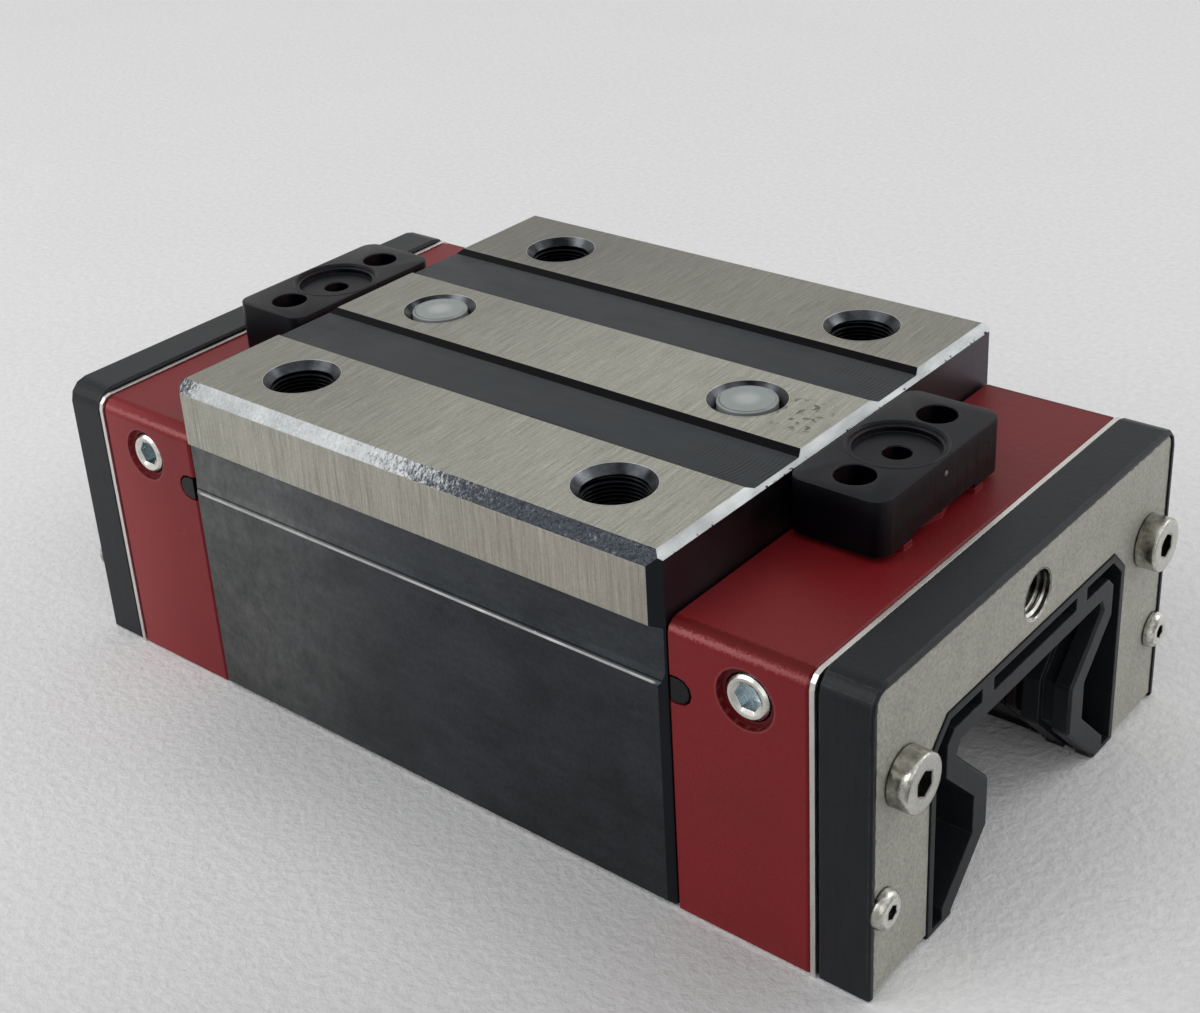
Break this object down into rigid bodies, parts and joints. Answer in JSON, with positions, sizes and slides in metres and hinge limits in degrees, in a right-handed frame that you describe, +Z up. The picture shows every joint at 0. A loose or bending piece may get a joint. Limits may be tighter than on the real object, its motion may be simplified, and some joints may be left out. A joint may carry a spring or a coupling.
{
  "type": "linear guide carriage",
  "caption": "Roller carriage for a profiled guide rail: ground steel block with tapped mounting holes, red end caps, double-lipped wipers and recirculating rollers.",
  "frame": {"origin": "middle of the footprint, on the plane that the loose carriage stands on", "axes": "+X along the rail towards the front end, +Y to the left, +Z up through the mounting face"},
  "size_m": [0.132, 0.07, 0.0461],
  "materials": {
    "hardened_steel": "ground on top and upper sides, dark and oily elsewhere",
    "sheet_steel": "bright rolled sheet",
    "grey_plate": "fine matt grey",
    "plated_screws": "zinc plated",
    "roller_steel": "ground and lapped",
    "red_plastic": "satin moulded",
    "black_plastic": "satin moulded",
    "black_rubber": "fine matt",
    "milky_plastic": "translucent white"
  },
  "bodies": {
    "carriage": {"carriage_body": "hardened_steel", "front_hole_plug": "milky_plastic", "rear_hole_plug": "milky_plastic", "front_end_cap": "red_plastic", "rear_end_cap": "red_plastic", "front_left_return_block": "black_plastic", "front_left_locating_tab": "black_plastic", "front_left_port_screw": "plated_screws", "front_left_cap_screw": "plated_screws", "front_left_button_screw": "plated_screws", "front_right_return_block": "black_plastic", "front_right_locating_tab": "black_plastic", "front_right_port_screw": "plated_screws", "front_right_cap_screw": "plated_screws", "front_right_button_screw": "plated_screws", "front_grease_adapter": "black_plastic", "front_adapter_o_ring": "black_rubber", "front_backing_sheet": "sheet_steel", "front_wiper_frame": "black_rubber", "front_wiper_plate": "grey_plate", "rear_left_return_block": "black_plastic", "rear_left_locating_tab": "black_plastic", "rear_left_port_screw": "plated_screws", "rear_left_cap_screw": "plated_screws", "rear_left_button_screw": "plated_screws", "rear_right_return_block": "black_plastic", "rear_right_locating_tab": "black_plastic", "rear_right_port_screw": "plated_screws", "rear_right_cap_screw": "plated_screws", "rear_right_button_screw": "plated_screws", "rear_grease_adapter": "black_plastic", "rear_adapter_o_ring": "black_rubber", "rear_backing_sheet": "sheet_steel", "rear_wiper_frame": "black_rubber", "rear_wiper_plate": "grey_plate", "top_retainer": "black_plastic", "left_middle_retainer": "black_plastic", "left_bottom_retainer": "black_plastic", "left_bottom_seal": "black_rubber", "right_middle_retainer": "black_plastic", "right_bottom_retainer": "black_plastic", "right_bottom_seal": "black_rubber"},
    "left_upper_loaded": {"left_upper_loaded_rollers": "roller_steel"},
    "left_upper_return": {"left_upper_return_rollers": "roller_steel"},
    "left_upper_front_turn": {"left_upper_front_turn_rollers": "roller_steel"},
    "left_upper_rear_turn": {"left_upper_rear_turn_rollers": "roller_steel"},
    "left_lower_loaded": {"left_lower_loaded_rollers": "roller_steel"},
    "left_lower_return": {"left_lower_return_rollers": "roller_steel"},
    "left_lower_front_turn": {"left_lower_front_turn_rollers": "roller_steel"},
    "left_lower_rear_turn": {"left_lower_rear_turn_rollers": "roller_steel"},
    "right_upper_loaded": {"right_upper_loaded_rollers": "roller_steel"},
    "right_upper_return": {"right_upper_return_rollers": "roller_steel"},
    "right_upper_front_turn": {"right_upper_front_turn_rollers": "roller_steel"},
    "right_upper_rear_turn": {"right_upper_rear_turn_rollers": "roller_steel"},
    "right_lower_loaded": {"right_lower_loaded_rollers": "roller_steel"},
    "right_lower_return": {"right_lower_return_rollers": "roller_steel"},
    "right_lower_front_turn": {"right_lower_front_turn_rollers": "roller_steel"},
    "right_lower_rear_turn": {"right_lower_rear_turn_rollers": "roller_steel"}
  },
  "joints": [
    {"name": "left_upper_loaded_travel", "type": "slide", "parent": "carriage", "child": "left_upper_loaded", "axis": [1, 0, 0], "range_m": [-0.00275, 0.00275]},
    {"name": "left_upper_return_travel", "type": "slide", "parent": "carriage", "child": "left_upper_return", "axis": [1, 0, 0], "range_m": [-0.00276, 0.00276]},
    {"name": "left_upper_front_turn_swing", "type": "hinge", "parent": "carriage", "child": "left_upper_front_turn", "pos_m": [0.04398, 0.01951, 0.01099], "axis": [0, 0.7071, 0.7071], "range_deg": [-22.6, 22.6]},
    {"name": "left_upper_rear_turn_swing", "type": "hinge", "parent": "carriage", "child": "left_upper_rear_turn", "pos_m": [-0.04398, 0.01951, 0.01099], "axis": [0, 0.7071, 0.7071], "range_deg": [-22.6, 22.6]},
    {"name": "left_lower_loaded_travel", "type": "slide", "parent": "carriage", "child": "left_lower_loaded", "axis": [1, 0, 0], "range_m": [-0.00275, 0.00275]},
    {"name": "left_lower_return_travel", "type": "slide", "parent": "carriage", "child": "left_lower_return", "axis": [1, 0, 0], "range_m": [-0.00276, 0.00276]},
    {"name": "left_lower_front_turn_swing", "type": "hinge", "parent": "carriage", "child": "left_lower_front_turn", "pos_m": [0.03574, 0.01976, 0.01096], "axis": [0, -0.7071, 0.7071], "range_deg": [-22.6, 22.6]},
    {"name": "left_lower_rear_turn_swing", "type": "hinge", "parent": "carriage", "child": "left_lower_rear_turn", "pos_m": [-0.03574, 0.01976, 0.01096], "axis": [0, -0.7071, 0.7071], "range_deg": [-22.6, 22.6]},
    {"name": "right_upper_loaded_travel", "type": "slide", "parent": "carriage", "child": "right_upper_loaded", "axis": [1, 0, 0], "range_m": [-0.00275, 0.00275]},
    {"name": "right_upper_return_travel", "type": "slide", "parent": "carriage", "child": "right_upper_return", "axis": [1, 0, 0], "range_m": [-0.00276, 0.00276]},
    {"name": "right_upper_front_turn_swing", "type": "hinge", "parent": "carriage", "child": "right_upper_front_turn", "pos_m": [0.04398, -0.01951, 0.01099], "axis": [0, 0.7071, -0.7071], "range_deg": [-22.6, 22.6]},
    {"name": "right_upper_rear_turn_swing", "type": "hinge", "parent": "carriage", "child": "right_upper_rear_turn", "pos_m": [-0.04398, -0.01951, 0.01099], "axis": [0, 0.7071, -0.7071], "range_deg": [-22.6, 22.6]},
    {"name": "right_lower_loaded_travel", "type": "slide", "parent": "carriage", "child": "right_lower_loaded", "axis": [1, 0, 0], "range_m": [-0.00275, 0.00275]},
    {"name": "right_lower_return_travel", "type": "slide", "parent": "carriage", "child": "right_lower_return", "axis": [1, 0, 0], "range_m": [-0.00276, 0.00276]},
    {"name": "right_lower_front_turn_swing", "type": "hinge", "parent": "carriage", "child": "right_lower_front_turn", "pos_m": [0.03574, -0.01976, 0.01096], "axis": [0, -0.7071, -0.7071], "range_deg": [-22.6, 22.6]},
    {"name": "right_lower_rear_turn_swing", "type": "hinge", "parent": "carriage", "child": "right_lower_rear_turn", "pos_m": [-0.03574, -0.01976, 0.01096], "axis": [0, -0.7071, -0.7071], "range_deg": [-22.6, 22.6]}
  ],
  "couplings": [
    {"joint": "left_upper_return_travel", "follows": "left_upper_loaded_travel", "ratio": -1},
    {"joint": "left_upper_front_turn_swing", "follows": "left_upper_loaded_travel", "rad_per_m": 142.86},
    {"joint": "left_upper_rear_turn_swing", "follows": "left_upper_loaded_travel", "rad_per_m": 142.86},
    {"joint": "left_lower_return_travel", "follows": "left_lower_loaded_travel", "ratio": -1},
    {"joint": "left_lower_front_turn_swing", "follows": "left_lower_loaded_travel", "rad_per_m": 142.86},
    {"joint": "left_lower_rear_turn_swing", "follows": "left_lower_loaded_travel", "rad_per_m": 142.86},
    {"joint": "right_upper_return_travel", "follows": "right_upper_loaded_travel", "ratio": -1},
    {"joint": "right_upper_front_turn_swing", "follows": "right_upper_loaded_travel", "rad_per_m": 142.86},
    {"joint": "right_upper_rear_turn_swing", "follows": "right_upper_loaded_travel", "rad_per_m": 142.86},
    {"joint": "right_lower_return_travel", "follows": "right_lower_loaded_travel", "ratio": -1},
    {"joint": "right_lower_front_turn_swing", "follows": "right_lower_loaded_travel", "rad_per_m": 142.86},
    {"joint": "right_lower_rear_turn_swing", "follows": "right_lower_loaded_travel", "rad_per_m": 142.86}
  ]
}
